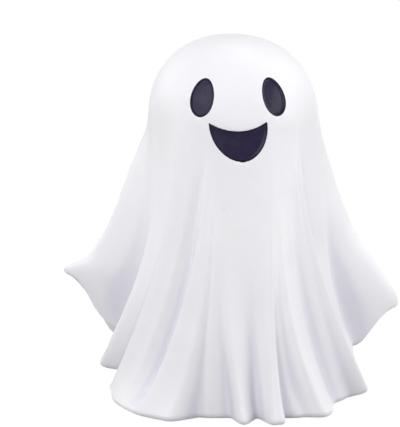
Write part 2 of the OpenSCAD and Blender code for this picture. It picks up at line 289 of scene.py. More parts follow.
def dark_glaze(colour):
    """A brushed-on dark glaze, with strokes that follow the outline near it and painted shade that darkens
    its rim on the recess's wall.
    """
    material, shader, here = new_finish("dark_glaze", {
        "Specular IOR Level": 0.12, "Coat Roughness": 0.1, "Coat IOR": 1.4})
    inside = here.node("Attribute", {"attribute_name": "inside"}, {}, out="Fac")
    # Painted shade: the glaze turns darker within a millimetre of the outline, where the recess's wall slopes
    # down.
    rim = 1 - inside.clamped(0.0002, 0.0009)
    brushed = 1 - inside.clamped(0.0025, 0.0055)
    bristles_per_metre = 2200
    lanes = inside.node("CombineXYZ", {}, {"X": inside * bristles_per_metre, "Y": here.noise(160) * 2.0})
    strokes = (lanes.noise(1.0, detail=3, roughness=0.6) - 0.5) * (0.25 + 0.75 * brushed) + 0.5
    clouds = here.noise(190, detail=3, roughness=0.6)
    thin = (strokes * 0.6 + clouds * 0.6).clamped(0.45, 0.9)
    base = thin.blend(colour, tinted(colour, 1.9, 1.8, 1.5))
    base = rim.blend(base, tinted(colour, 0.3))
    feed(shader, Base_Color=base,
         Roughness=0.24 + 0.2 * strokes,
         Coat_Weight=0.1 + 0.15 * thin,
         Normal=bumped(strokes + 0.5 * clouds, distance=0.00005))
    return material


def soft_rubber(colour):
    """Milky soft rubber with a moulded, slightly dusty skin."""
    material, shader, here = new_finish("soft_rubber", {
        "Specular IOR Level": 0.45, "Subsurface Weight": 0.15, "Subsurface Radius": (0.004, 0.0038, 0.0034)})
    dust = here.noise(260, detail=4, roughness=0.6)
    grain = here.noise(5200)
    base = dust.clamped(0.35, 0.75).blend(colour, tinted(colour, 0.86))
    feed(shader, Base_Color=base, Roughness=0.42 + 0.2 * dust, Normal=bumped(grain, distance=0.00003))
    return material


def pressed_felt(colour):
    """Pressed felt: matted short fibres in two directions, with darker and paler ones mixed in."""
    material, shader, here = new_finish("pressed_felt", {
        "Specular IOR Level": 0.2, "Sheen Weight": 0.35, "Sheen Roughness": 0.5})
    one_way = here.noise(900, detail=4, roughness=0.65, stretch=(1, 7, 3))
    other_way = here.noise(800, detail=4, roughness=0.65, stretch=(8, 1, 3))
    mat = one_way * 0.5 + other_way * 0.5
    base = mat.clamped(0.35, 0.65).blend(tinted(colour, 0.72), tinted(colour, 1.18))
    feed(shader, Base_Color=base, Roughness=0.86 + 0.12 * mat, Normal=bumped(mat, distance=0.0004))
    return material


# The form of the figure, as the shell's CAD solid has it

def smooth(x, low, high):
    """0 at low, 1 at high, smooth between."""
    t = np.clip((x - low) / (high - low), 0, 1)
    return t * t * (3 - 2 * t)


def bent(first, knee, last, t):
    """A value that bends from first over knee to last while t runs from 0 to 1."""
    return first * (1 - t) ** 2 + 2 * knee * t * (1 - t) + last * t ** 2


class Head:
    """The plain oval head and body, and the way from its surface to a flat one and back."""
    half = np.array((0.04575, 0.043))
    hem_half = np.array((0.061, 0.052))
    crown_power = 2.2
    flare_power = 1.15
    # The highest share of the crown at which it still has a radius.
    highest_share = 0.99999
    foot_x = 0.004
    lean = 0.005
    face_azimuth = math.radians(4.4)

    @classmethod
    def axis_x(cls, z):
        return cls.foot_x - cls.lean * z / FIGURE_H

    @classmethod
    def radius(cls, azimuth, z, inset=0.0):
        rise = np.clip((z - BROW_Z) / (CROWN_H - inset), 0, cls.highest_share)
        top = (1 - rise ** cls.crown_power) ** (1 / cls.crown_power)
        flare = np.clip(1 - z / BROW_Z, 0, 1) ** cls.flare_power
        half = [(cls.half[i] - inset) * top + (cls.hem_half[i] - cls.half[i]) * flare for i in (0, 1)]
        return 1 / np.sqrt((np.sin(azimuth) / half[0]) ** 2 + (np.cos(azimuth) / half[1]) ** 2)

    @classmethod
    def unrolled(cls, co):
        """Distance round from the middle of the face, height, and how far out of the plain form."""
        x = co[:, 0] - cls.axis_x(co[:, 2])
        azimuth = np.arctan2(x, -co[:, 1])
        out = np.hypot(x, co[:, 1]) - cls.radius(azimuth, co[:, 2])
        return np.stack(((azimuth - cls.face_azimuth) * cls.half[1], co[:, 2], out), -1)

    @classmethod
    def rolled(cls, flat):
        """The way back from unrolled."""
        azimuth = flat[:, 0] / cls.half[1] + cls.face_azimuth
        r = cls.radius(azimuth, flat[:, 1]) + flat[:, 2]
        return np.stack((cls.axis_x(flat[:, 1]) + r * np.sin(azimuth), -r * np.cos(azimuth), flat[:, 1]), -1)

    @classmethod
    def dome(cls, base, rise, n):
        """Heights of n rings on a dome, from just under its top down to its base."""
        return [base + rise * math.cos(math.pi / 2 * i / n) ** (2 / cls.crown_power) for i in range(1, n + 1)]


class Sheet:
    """The draped sheet for many columns at once, with the folds, arms and hem of the CAD solid."""
    fold_depth = 0.012
    spread_depth = 0.012
    spread_h = 0.03
    hem_t = 0.006
    lip_r = hem_t / 2
    hem_gap = 0.0003
    foot_inset = 0.005
    wall_t = 0.005
    hollow_r = 0.038
    pour_r = 0.011
    base_chamfer = 0.0004
    floor_inset = 0.003
    floor_fillet = 0.0008
    least_columns = 5
    cavity_rows = 16
    cavity_crown_rows = 9
    # Rings under the hem: shares of the way out from the foot, and heights as shares of lip_r.
    underside = ((1, 0.5), (0.6, 1), (0.3, 1), (0, 1))
    # Heights over which the hem's easing sets in, and distances across over which it ends.
    ease_z, ease_x = (0.02, 0.032), (0.074, 0.082)
    # Distances across and heights over which the painted shade in the valleys fades.
    tint_x, tint_z = (0.055, 0.075), (0.04, 0.13)
    arm_power = 1.35
    point_power = 6
    # Places, as shares of an arm's length, over which its profile is averaged to round its bends.
    arm_steps = (-0.02, -0.01, 0, 0.01, 0.02)
    # Each arm: its sign, reach, tip's height, where its hem starts to rise, and its profile as shares.
    arms = (
        (-1, 0.042, 0.071, 0.48,
         (0, 0.1, 0.33, 0.54, 0.64, 0.74, 0.79, 0.84, 0.9, 0.95, 1, 1.2, 1.4),
         (0, 0.03, 0.2, 0.335, 0.4, 0.48, 0.53, 0.59, 0.66, 0.73, 0.82, 0.93, 1.08)),
        (1, 0.0345, 0.051, 0.24,
         (0, 0.15, 0.42, 0.58, 0.7, 0.8, 0.88, 0.95, 1, 1.3),
         (0, 0.06, 0.22, 0.35, 0.52, 0.69, 0.83, 0.95, 1, 1.05)),
    )
    left_point = ((0.95, 1), (0, 0.18))
    # Crests and valleys once round from the left arm. Each row: azimuths at the hem, the knee and
    # the neck in degrees, relief at the hem and the knee, the height where it fades out, how far
    # its hem lifts, the arm, and how far its hem spreads out, all as shares.
    folds = np.array((
        (-108, -87, -93, 0.00, 0.00, 0.60, 0.170, -1, 0.00),
        (-106, -68, -76, -0.10, -0.10, 0.78, 0.170, 0, 0.00),
        (-103, -56, -63, 2.05, -0.60, 0.84, 0.055, 0, 0.00),
        (-92, -42, -45, 0.00, -0.15, 0.82, 0.060, 0, 0.00),
        (-88, -39, -41, 0.92, 0.40, 0.84, 0.010, 0, 0.20),
        (-72, -31, -32, 0.70, 0.30, 0.80, 0.000, 0, 0.60),
        (-59, -22, -22, 0.12, -0.05, 0.76, 0.000, 0, 1.35),
        (-55, -19, -19, 0.85, 0.40, 0.72, 0.000, 0, 0.45),
        (-38, -13, -14, 0.72, 0.35, 0.66, 0.000, 0, 0.40),
        (-25, -15, -10, -0.10, 0.20, 0.62, 0.000, 0, 0.00),
        (-7, -15, -8, -0.30, 0.15, 0.56, 0.000, 0, 0.00),
        (2, -12, -6, 0.48, 0.25, 0.50, 0.000, 0, 0.15),
        (11, 3, 11, -0.20, 0.15, 0.60, 0.000, 0, 0.00),
        (17, 17, 27, 0.75, 0.28, 0.66, 0.000, 0, 0.10),
        (22, 16, 31, 0.75, 0.34, 0.68, 0.000, 0, 0.10),
        (26, 16, 34, 0.00, 0.42, 0.68, 0.000, 0, 0.05),
        (36, 15, 38, 0.05, 0.30, 0.64, 0.000, 0, 0.30),
        (46, 15, 41, 0.80, 0.42, 0.60, 0.000, 0, 0.05),
        (66, 32, 45, -0.15, -0.15, 0.62, 0.000, 0, 0.10),
        (76, 37, 47, 0.10, 0.30, 0.74, 0.000, 0, 0.00),
        (84, 40, 49, 0.95, 0.45, 0.80, 0.008, 0, 0.00),
        (88, 45, 53, -0.10, -0.15, 0.78, 0.040, 0, 0.00),
        (94, 62, 68, 1.10, -0.80, 0.50, 0.080, 0, 0.00),
        (99, 72, 78, 1.20, -0.50, 0.50, 0.120, 0, 0.00),
        (106, 90, 93, 0.00, 0.00, 0.60, 0.120, 1, 0.00),
        (115, 104, 107, 0.00, 0.00, 0.60, 0.060, 0, 0.00),
        (124, 116, 118, 0.75, 0.30, 0.66, 0.010, 0, 0.15),
        (135, 128, 129, -0.10, 0.00, 0.60, 0.000, 0, 0.00),
        (148, 141, 141, 0.75, 0.30, 0.74, 0.000, 0, 0.15),
        (161, 157, 157, -0.10, 0.00, 0.55, 0.000, 0, 0.10),
        (175, 170, 170, 0.60, 0.20, 0.66, 0.000, 0, 0.10),
        (190, 187, 187, -0.10, 0.00, 0.50, 0.000, 0, 0.05),
        (206, 202, 202, 0.70, 0.30, 0.72, 0.000, 0, 0.20),
        (222, 219, 219, -0.10, 0.00, 0.60, 0.000, 0, 0.00),
        (236, 235, 235, 0.75, 0.30, 0.74, 0.010, 0, 0.10),
        (247, 250, 252, 0.00, 0.00, 0.60, 0.070, 0, 0.00),
    ))
    # The table's columns, and what one turn adds to them.
    HEM, KNEE, NECK, HEM_RELIEF, KNEE_RELIEF, FADE, LIFT, ARM, SPREAD = range(9)
    next_turn = (360, 360, 360, 0, 0, 0, 0, 0, 0)

    def __init__(self, per_degree):
        rows = np.vstack((self.folds, self.folds[0] + self.next_turn))
        widths = np.diff(rows[:, [self.HEM, self.KNEE, self.NECK]], axis=0).max(1)
        counts = np.maximum(self.least_columns, np.ceil(widths * per_degree)).astype(int)
        self.before = np.repeat(rows[:-1], counts, axis=0)
        self.after = np.repeat(rows[1:], counts, axis=0)
        self.share = np.concatenate([np.arange(n) / n for n in counts])
        self.eased = smooth(self.share, 0, 1)
        self.hem = self.hem_z()
        self.hem_r = self.radius(self.hem + self.lip_r)
        self.behind_r = self.hem_r - self.hem_t
        self.foot_r = np.minimum(Head.radius(self.azimuth(FOOT_Z), FOOT_Z) - self.foot_inset,
                                 self.behind_r - self.foot_inset / 4)

    def between(self, i):
        """The table's share for each column, eased between its rows."""
        return self.before[:, i] + (self.after[:, i] - self.before[:, i]) * self.eased

    def azimuth(self, z):
        """Where each column stands at its height."""
        down = np.clip(1 - z / SHOULDER_Z, 0, 1)
        before, after = (bent(rows[:, self.NECK], rows[:, self.KNEE], rows[:, self.HEM], down)
                         for rows in (self.before, self.after))
        return np.radians(before + (after - before) * self.share)

    def relief(self, z):
        """How far each fold stands out of the plain body."""
        before, after = (bent(0, rows[:, self.KNEE_RELIEF], rows[:, self.HEM_RELIEF],
                              np.clip(1 - z / (rows[:, self.FADE] * FIGURE_H), 0, 1))
                         for rows in (self.before, self.after))
        spread = self.between(self.SPREAD) * np.clip(1 - z / self.spread_h, 0, 1) ** 2
        return self.fold_depth * (before + (after - before) * self.eased) + self.spread_depth * spread

    def reach(self, z):
        """How far the arms stand out of the folds."""
        total = 0 * z
        for sign, reach, tip_z, _, heights, widths in self.arms:
            share = np.clip(self.between(self.ARM) * sign, 0, 1)
            for step in self.arm_steps:
                down = (SHOULDER_Z - z) / (SHOULDER_Z - tip_z) + step
                out = np.interp(down, heights, widths) * share ** self.arm_power
                if sign < 0:
                    out += np.interp(down, *self.left_point) * share ** self.point_power
                total = total + reach * out / len(self.arm_steps)
        return total

    def radius(self, z):
        return Head.radius(self.azimuth(z), z) + self.relief(z) + self.reach(z)

    def hem_z(self, out=1.0):
        """Height of the hem, or of the underside where out is the share left of the way to the hem."""
        z = FOOT_Z + self.hem_gap + self.between(self.LIFT) * FIGURE_H
        for sign, _, tip_z, start, _, _ in self.arms:
            along = np.clip(self.between(self.ARM) * sign, 0, 1) * out ** (1 / self.arm_power)
            z = z + (tip_z - self.hem_t - z) * smooth(along, start, 1)
        return z

    def ring(self, radius, z):
        """One radius and one height for each column."""
        return np.broadcast_to(radius, self.share.shape), np.broadcast_to(z, self.share.shape)

    def points(self, rings):
        """Rings of [radius, height] as points, each at the azimuth of its own height."""
        r, z = np.moveaxis(np.array(rings), 1, 0)
        azimuth = self.azimuth(z)
        return np.stack((Head.axis_x(z) + r * np.sin(azimuth), -r * np.cos(azimuth), z), -1)

    def outer_face(self, crown_rows, skirt_rows):
        """Rings from the crown down to the hem's widest line."""
        heights = [np.full(self.share.shape, z) for z in Head.dome(BROW_Z, CROWN_H, crown_rows)]
        down = self.hem + self.lip_r - BROW_Z
        heights += [BROW_Z + down * i / skirt_rows for i in range(1, skirt_rows + 1)]
        return [self.ring(self.radius(z), z) for z in heights]

    def rolled_hem(self, start):
        """Rings from the start of the hem's turn along the underside to the foot, with soft corners."""
        lip = self.lip_r
        turn = lip * (1 - math.cos(math.pi / 4))
        rings = [*start, self.ring(self.hem_r - turn, self.hem + turn), self.ring(self.hem_r - lip, self.hem)]
        for share, lift in self.underside:
            radius = self.foot_r + (self.behind_r - self.foot_r) * share
            out = (radius - self.foot_r) / (self.hem_r - self.foot_r)
            rings.append(self.ring(radius, self.hem_z(out) + lip * lift))
        rings += [self.ring(self.foot_r, FOOT_Z + (rings[-1][1] - FOOT_Z) / 3),
                  self.ring(self.foot_r - self.foot_inset / 5, FOOT_Z)]
        return cut_corners(cut_corners(rings))

    def base(self):
        """Rings of the hollow under the base, the pour hole and the floor of the cavity."""
        hollow, hole, chamfer = self.hollow_r, self.pour_r, self.base_chamfer
        floor_r, _ = self.cavity_ring(FLOOR_Z)
        inset, rise = self.floor_inset, self.floor_fillet
        return [self.ring(radius, z) for radius, z in (
            (hollow + chamfer, FOOT_Z), (hollow, FOOT_Z + chamfer),
            (hollow, CEILING_Z - chamfer), (hollow - chamfer, CEILING_Z),
            (hole + chamfer, CEILING_Z), (hole, CEILING_Z + chamfer),
            (hole, FLOOR_Z - chamfer), (hole + chamfer, FLOOR_Z),
            (floor_r - inset, FLOOR_Z), (floor_r - rise, FLOOR_Z + rise))]

    def cavity_ring(self, z):
        """The cavity's wall, inside the body, its valleys and, low down, the foot."""
        inner = Head.radius(self.azimuth(z), z, self.wall_t) + np.minimum(0, self.relief(z))
        low_down = z < self.hem + self.hem_t + self.wall_t
        return self.ring(np.where(low_down, np.minimum(inner, self.foot_r - self.wall_t), inner), z)

    def cavity(self):
        """Rings of the cavity from its floor up to its top."""
        n = self.cavity_rows
        heights = [FLOOR_Z + (BROW_Z - FLOOR_Z) * i / n for i in range(1, n + 1)]
        heights += reversed(Head.dome(BROW_Z, CROWN_H - self.wall_t, self.cavity_crown_rows)[:-1])
        return [self.cavity_ring(z) for z in heights]

    def rings(self, crown_rows, skirt_rows):
        """The shell from its crown down the sheet, under the foot and up the cavity, as rings of columns."""
        outer = self.outer_face(crown_rows, skirt_rows)
        plain, turned = outer[:-2], self.rolled_hem(outer[-2:])
        co = self.points(plain + turned + self.base() + self.cavity())
        # The easing starts on the sheet above the turn and stops before the rings next to the foot.
        early = 6
        self.ease_hem(co, len(plain) - early, len(plain) + len(turned) - early)
        return co

    def ease_hem(self, co, first, last):
        """Smooths the rings of the hem where it climbs to an arm, but not at the arm's tip."""
        strength, passes = 0.7, 4
        share = strength * smooth(co[first:last, :, 2:], *self.ease_z)
        share *= 1 - smooth(np.abs(co[first:last, :, :1]), *self.ease_x)
        for _ in range(passes):
            band = co[first:last]
            mean = co[first - 1:last - 1] + co[first + 1:last + 1]
            mean = (mean + np.roll(band, 1, 1) + np.roll(band, -1, 1)) / 4
            co[first:last] = band + (mean - band) * share

    def mesh(self, crown_rows, skirt_rows):
        """The shell's mesh: its rings, a point at each pole, and how deep its points lie in the folds'
        hollows, which the white glaze greys as painted shade.
        """
        rings = self.rings(crown_rows, skirt_rows)
        m, n = rings.shape[:2]
        poles = [(Head.axis_x(z), 0, z) for z in (FIGURE_H, FIGURE_H - self.wall_t)]
        ring = np.arange(m - 1)[:, None] * n
        here, right = np.arange(n), np.roll(np.arange(n), -1)
        quads = np.stack((ring + here, ring + n + here, ring + n + right, ring + right), -1).reshape(-1, 4)
        last = (m - 1) * n
        caps = [(m * n, a, b) for a, b in zip(here.tolist(), right.tolist())]
        caps += [(m * n + 1, last + b, last + a) for _, a, b in caps]
        mesh = bpy.data.meshes.new("sheet")
        mesh.from_pydata(np.vstack((rings.reshape(-1, 3), poles)).tolist(), [], quads.tolist() + caps)
        # The attribute tells the white glaze where to paint shade into the folds' hollows.
        valley = mesh.attributes.new("valley", "FLOAT", "POINT")
        valley.data.foreach_set("value", np.append(self.valleys(rings).ravel(), (0, 0)).astype(np.float32))
        mesh.shade_smooth()
        return mesh

    def valleys(self, rings):
        """How deep each point lies in the folds' hollows, from 0 to 1, with less on the arms and higher up:
        the amount of painted shade there.
        """
        chord_limit, full_depth, least_angle, passes = 0.003, 0.0038, 1e-6, 7
        on_arms = smooth(np.abs(rings[..., 0]), *self.tint_x)
        high_up = smooth(rings[..., 2], *self.tint_z)
        x = rings[..., 0] - Head.axis_x(rings[..., 2])
        azimuth, r = np.arctan2(x, -rings[..., 1]), np.hypot(x, rings[..., 1])
        depth = 0 * r
        for columns in (2, 4, 6):
            before = (azimuth - np.roll(azimuth, columns, 1)) % (2 * math.pi)
            after = (np.roll(azimuth, -columns, 1) - azimuth) % (2 * math.pi)
            share = before / np.maximum(before + after, least_angle)
            chord_r = np.roll(r, columns, 1) * (1 - share) + np.roll(r, -columns, 1) * share
            depth += np.clip(chord_r - r, 0, chord_limit)
        depth *= 1 - 0.6 * on_arms
        for _ in range(passes):
            depth = (np.roll(depth, 1, 1) + 2 * depth + np.roll(depth, -1, 1)) / 4
            depth[1:-1] = (depth[:-2] + 2 * depth[1:-1] + depth[2:]) / 4
        return np.clip(depth / full_depth, 0, 1) * (1 - 0.7 * high_up)


def cut_corners(rings):
    """Replaces each ring but the first and the last by two, a quarter of the way to its neighbours."""
    rows = np.array(rings)
    low = rows[:-1] * 0.75 + rows[1:] * 0.25
    high = rows[:-1] * 0.25 + rows[1:] * 0.75
    middle = np.stack((low, high), 1).reshape(-1, *rows.shape[1:])
    return [rows[0], *middle, rows[-1]]


class Feature:
    """One recess of the face: a closed outline on the unrolled head.

    Its sloped wall has one width at the top and one at the bottom, and strokes says how strong
    the waves in its glaze are."""
    fillet = 0.35
    # The least values that anything is divided by.
    least_rise = 1e-12
    least_length = 1e-9

    def __init__(self, node, outline, walls, strokes):
        self.node = node
        self.outline = outline
        self.wall_top, self.wall_bottom = walls
        self.strokes = strokes

    def distances(self, points):
        """How far inside the outline each point is, the nearest outline point, and its wall's width."""
        a = self.outline
        b = np.roll(a, -1, axis=0)
        along = b - a
        t = np.clip(((points[:, None] - a) * along).sum(-1) / (along ** 2).sum(-1), 0, 1)
        near = a + t[..., None] * along
        gap = points[:, None] - near
        gap_length = np.hypot(gap[..., 0], gap[..., 1])
        best = gap_length.argmin(1)
        rows = np.arange(len(points))
        crossing = (a[:, 1] > points[:, None, 1]) != (b[:, 1] > points[:, None, 1])
        rise = np.where(np.abs(along[:, 1]) < self.least_rise, self.least_rise, along[:, 1])
        at = a[:, 0] + (points[:, None, 1] - a[:, 1]) / rise * along[:, 0]
        inner = (crossing & (points[:, None, 0] < at)).sum(1) % 2 == 1
        length = gap_length[rows, best]
        up = -gap[rows, best][:, 1] / np.maximum(length, self.least_length)
        wall = self.wall_bottom + (self.wall_top - self.wall_bottom) * (0.5 - 0.5 * up)
        return np.where(inner, length, -length), near[rows, best], wall

    def depth(self, points, deepest):
        """How far inside each point is, and the depth there: a sloped wall with a fillet at its foot."""
        inside, _, wall = self.distances(points)
        t = np.clip(inside / wall, 0, 2)
        k = self.fillet
        bend = 1 - (1 + k - t) ** 2 / (4 * k)
        share = np.where(t < 1 - k, t, np.where(t < 1 + k, bend, 1.0))
        return inside, deepest * share


def eye(face, side):
    """The left eye (side -1) or the right eye (side 1): an oval whose top leans to the middle."""
    points, tilt = 72, -side * math.radians(7)
    a = np.linspace(0, 2 * math.pi, points, endpoint=False)
    u, v = -np.sin(a) * face.eye_w / 2, np.cos(a) * face.eye_h / 2
    outline = np.stack((side * face.eye_span / 2 + u * math.cos(tilt) + v * math.sin(tilt),
                        face.eye_z + v * math.cos(tilt) - u * math.sin(tilt)), -1)
    name = "left_eye" if side < 0 else "right_eye"
    return Feature(name, outline, walls=(0.0011, 0.0014), strokes=0.25)


def mouth(face):
    """The mouth: its upper edge and the two halves of its lower one, as in the CAD solid."""
    curves = (
        ((0.47, 0.02), (0, -0.42), (-0.52, 0)),
        ((-0.52, 0), (-0.5, -0.6), (-0.22, -1), (0.045, -1)),
        ((0.045, -1), (0.28, -1), (0.52, -0.52), (0.47, 0.02)),
    )
    points_per_curve = 26
    points = []
    for curve in curves:
        for t in np.linspace(0, 1, points_per_curve, endpoint=False):
            row = np.array(curve)
            while len(row) > 1:
                row = row[:-1] + (row[1:] - row[:-1]) * t
            points.append((row[0][0] * face.mouth_w, face.mouth_z + row[0][1] * face.mouth_h))
    return Feature("mouth", np.array(points), walls=(0.0008, 0.003), strokes=1.0)


def features():
    face = bpy.context.scene.ghost_face_sizes
    return [eye(face, -1), eye(face, 1), mouth(face)]


# Mesh helpers

def vectors(mesh, kind):
    """The places ("co") or normals ("normal") of a mesh's vertices."""
    values = np.zeros(len(mesh.vertices) * 3)
    mesh.vertices.foreach_get(kind, values)
    return values.reshape(-1, 3)


def bmesh_coords(bm):
    return np.array([v.co for v in bm.verts])


def move_to(bm, co):
    for v, p in zip(bm.verts, co):
        v.co = p


def new_object(name, mesh, material):
    piece = bpy.data.objects.new(name, mesh)
    bpy.context.scene.collection.objects.link(piece)
    mesh.materials.append(material)
    return piece


def from_bmesh(bm, name, material):
    """A smooth object of the bmesh, which is freed."""
    mesh = bpy.data.meshes.new(name)
    bm.to_mesh(mesh)
    bm.free()
    mesh.shade_smooth()
    return new_object(name, mesh, material)


def settle(piece):
    """Applies every modifier of a piece."""
    bpy.context.view_layer.update()
    evaluated = piece.evaluated_get(bpy.context.evaluated_depsgraph_get())
    old = piece.data
    mesh = bpy.data.meshes.new_from_object(evaluated)
    piece.modifiers.clear()
    piece.data = mesh
    bpy.data.meshes.remove(old)
    mesh.shade_smooth()


def carry(piece, body, slot, *nodes):
    """Says which body a piece rides on and the CAD nodes that it replaces; the material slot is not used."""
    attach(piece, body)
    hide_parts(*nodes)


def drift(co, size, seed):
    """A smooth wandering value from -1 to 1 at each point."""
    shift = Vector((seed * 7.1, seed * 3.3, seed * 5.7))
    return np.array([noise.noise(Vector(p) / size + shift) for p in co])


def on_face(flat, above, across, off):
    """The rows of the unrolled points in front, above a height and close to the plain form."""
    return np.nonzero((flat[:, 1] > above) & (np.abs(flat[:, 0]) < across) & (np.abs(flat[:, 2]) < off))[0]


def face_patch(feature, step):
    """A grid on the unrolled head over one recess, its edge drawn to the outline."""
    low, high = feature.outline.min(0) - step, feature.outline.max(0) + step
    size = high - low
    cells = np.ceil(size / step).astype(int)
    bm = bmesh.new()
    spread = Matrix.Translation((*(low + high) / 2, 0)) @ Matrix.Diagonal((*size, 1, 1))
    bmesh.ops.create_grid(bm, x_segments=int(cells[0]), y_segments=int(cells[1]), size=0.5, matrix=spread)
    inside, _, _ = feature.distances(bmesh_coords(bm)[:, :2])
    past_edge = -0.35 * step
    outer = [v for v, d in zip(bm.verts, inside) if d < past_edge]
    bmesh.ops.delete(bm, geom=outer, context="VERTS")
    loose = [v for v in bm.verts if not v.link_faces]
    bmesh.ops.delete(bm, geom=loose, context="VERTS")
    edge = [v for v in bm.verts if v.is_boundary]
    _, near, _ = feature.distances(np.array([v.co[:2] for v in edge]))
    for v, p in zip(edge, near):
        v.co.xy = p
    ends = feature.outline[[feature.outline[:, 0].argmin(), feature.outline[:, 0].argmax()]]
    for end in ends:
        nearest = min(edge, key=lambda v: math.dist(v.co[:2], end))
        nearest.co.xy = end
    return bm


# Pieces

class GHOST_OT_shell(bpy.types.Operator):
    """Drapes the cast shell in a fine mesh, sinks the recesses of the face and glazes it white"""
    bl_idname = "ghost.shell"
    bl_label = "Cast shell"
    # How far round the outlines the mesh is refined.
    margin = 0.0016
    # How much deeper the shell lies under the glaze, and over which distances inwards.
    under_glaze, under_edge = 0.0002, (-0.0001, 0.0006)
    # Heights and distances from the outlines over which the face's plain surface fades.
    chin_z, forehead_z, plain_edge = (0.131, 0.136), (0.184, 0.19), (0.006, 0.01)
    # Heights over which the wandering sets in, and its larger and smaller waves.
    wander_z, large, small = (0.004, 0.012), 0.021, 0.009

    def execute(self, context):
        sizes = context.scene.ghost_shell_sizes
        mesh = Sheet(sizes.columns).mesh(sizes.crown_rows, sizes.skirt_rows)
        self.refine_face(mesh)
        self.sink_recesses(mesh, context.scene.ghost_face_sizes.depth, sizes.wobble)
        shell = new_object("ceramic_shell", mesh, white_glaze(tuple(sizes.colour)))
        carry(shell, "figure", "white_ceramic", "ghost_shell")
        return {"FINISHED"}

    def refine_face(self, mesh):
        """Splits the shell's mesh round the outlines, where the rims need finer edges."""
        bm = bmesh.new()
        bm.from_mesh(mesh)
        flat = Head.unrolled(bmesh_coords(bm))
        near = np.zeros(len(flat), bool)
        rows = on_face(flat, above=0.13, across=0.04, off=0.002)
        for feature in features():
            inside, _, wall = feature.distances(flat[rows, :2])
            near[rows] |= (inside > -self.margin) & (inside < wall + self.margin)
        edges = [e for e in bm.edges if near[e.verts[0].index] and near[e.verts[1].index]]
        bmesh.ops.subdivide_edges(bm, edges=edges, cuts=2, use_grid_fill=True)
        bm.to_mesh(mesh)
        bm.free()

    def sink_recesses(self, mesh, deepest, wobble):
        """Sinks the recesses, with a plain surface round them, and lets the rest wander."""
        co = vectors(mesh, "co")
        flat = Head.unrolled(co)
        rows = on_face(flat, above=0.128, across=0.045, off=0.0025)
        depth = np.zeros(len(rows))
        away = np.full(len(rows), 1.0)
        for feature in features():
            inside, sunk = feature.depth(flat[rows, :2], deepest)
            depth = np.maximum(depth, sunk + self.under_glaze * smooth(inside, *self.under_edge))
            away = np.minimum(away, -inside)
        level = smooth(flat[rows, 1], *self.chin_z) * (1 - smooth(flat[rows, 1], *self.forehead_z))
        plain = level * (1 - smooth(away, *self.plain_edge))
        flat[rows, 2] = flat[rows, 2] * (1 - plain) - depth
        co[rows] = Head.rolled(flat[rows])
        inwards = 0.5 - 0.35 * drift(co, self.large, 1) - 0.15 * drift(co, self.small, 2)
        free = smooth(co[:, 2], *self.wander_z)
        free[rows] *= 1 - plain
        co -= vectors(mesh, "normal") * (inwards * free * wobble)[:, None]
        mesh.vertices.foreach_set("co", co.ravel())
        mesh.update()


class GHOST_OT_face(bpy.types.Operator):
    """Lays the dark glaze into the recesses of the eyes and the mouth"""
    bl_idname = "ghost.face"
    bl_label = "Eyes and mouth"
    wave_length, wave_h = 0.00095, 0.00007
    pool_size, pool_h = 0.004, 0.00006
    rim_lift, inner_lift, glaze_t = 0.00005, 0.00013, 0.0004
    # Distances inwards over which the waves begin and end and the pools and full glaze begin.
    waves_from, waves_to = (0.001, 0.002), (0.0038, 0.0052)
    pools_from, full_from = (0.0004, 0.0015), (0, 0.0006)

    def execute(self, context):
        face = context.scene.ghost_face_sizes
        material = dark_glaze(tuple(face.colour))
        for feature in features():
            self.lay(feature, face, material)
        return {"FINISHED"}

    def lay(self, feature, face, material):
        """Lays the glaze of one recess, with the brush's waves along its lower edge."""
        bm = face_patch(feature, face.step)
        flat = bmesh_coords(bm)
        inside, depth = feature.depth(flat[:, :2], face.depth)
        lower = 1 - smooth(flat[:, 1], feature.outline[:, 1].min(), feature.outline[:, 1].max())
        waves = np.cos(inside / self.wave_length * 2 * math.pi) * smooth(inside, *self.waves_from)
        waves *= (1 - smooth(inside, *self.waves_to)) * lower * feature.strokes
        pools = drift(flat * (1, 1, 0), self.pool_size, 4) * smooth(inside, *self.pools_from)
        lift = self.rim_lift + self.inner_lift * smooth(inside, *self.full_from)
        flat[:, 2] = -depth + lift + self.wave_h * waves + self.pool_h * pools
        move_to(bm, Head.rolled(flat))
        layer = bm.verts.layers.float.new("inside")
        for v, d in zip(bm.verts, inside):
            v[layer] = d
        bmesh.ops.recalc_face_normals(bm, faces=bm.faces)
        if sum(f.normal.y for f in bm.faces) > 0:
            bmesh.ops.reverse_faces(bm, faces=bm.faces)
        piece = from_bmesh(bm, feature.node + "_glaze", material)
        thick = piece.modifiers.new("thick", "SOLIDIFY")
        thick.thickness = self.glaze_t
        thick.offset = -1
        settle(piece)
        carry(piece, "figure", "dark_glaze", feature.node)


